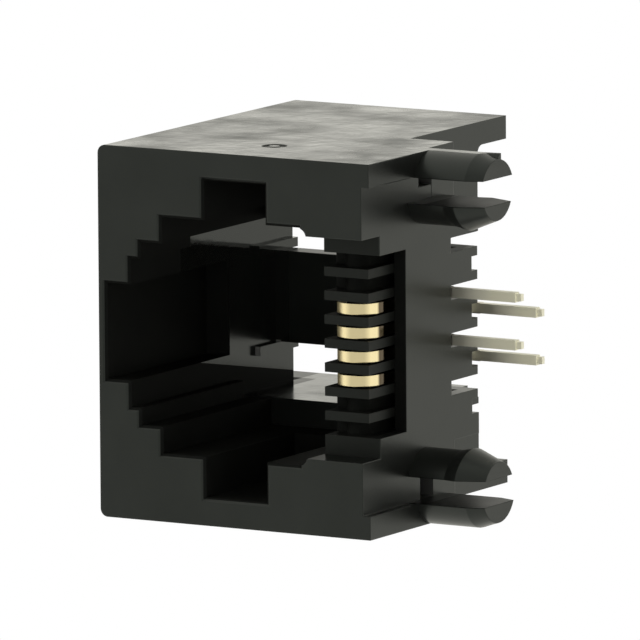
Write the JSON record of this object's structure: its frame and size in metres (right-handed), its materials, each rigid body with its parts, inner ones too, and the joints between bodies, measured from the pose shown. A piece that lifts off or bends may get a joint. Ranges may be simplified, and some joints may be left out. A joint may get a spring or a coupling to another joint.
{
  "type": "modular jack",
  "caption": "Right-angle board-mount modular jack: black moulded housing with a stepped plug mouth, a comb of gilt spring contacts, solder pins and split board pegs.",
  "frame": {"origin": "on the board seat, midway between the two board pegs", "axes": "+Z away from the board, -Y out of the plug mouth, X across the mouth"},
  "size_m": [0.0158, 0.0158, 0.0164],
  "materials": {
    "housing_plastic": "satin moulded black",
    "contact_metal": "gilt at the bend, tinned at the pins"
  },
  "bodies": {
    "root": {"housing": "housing_plastic", "contact_1": "contact_metal", "contact_2": "contact_metal", "contact_3": "contact_metal", "contact_4": "contact_metal"}
  },
  "joints": []
}
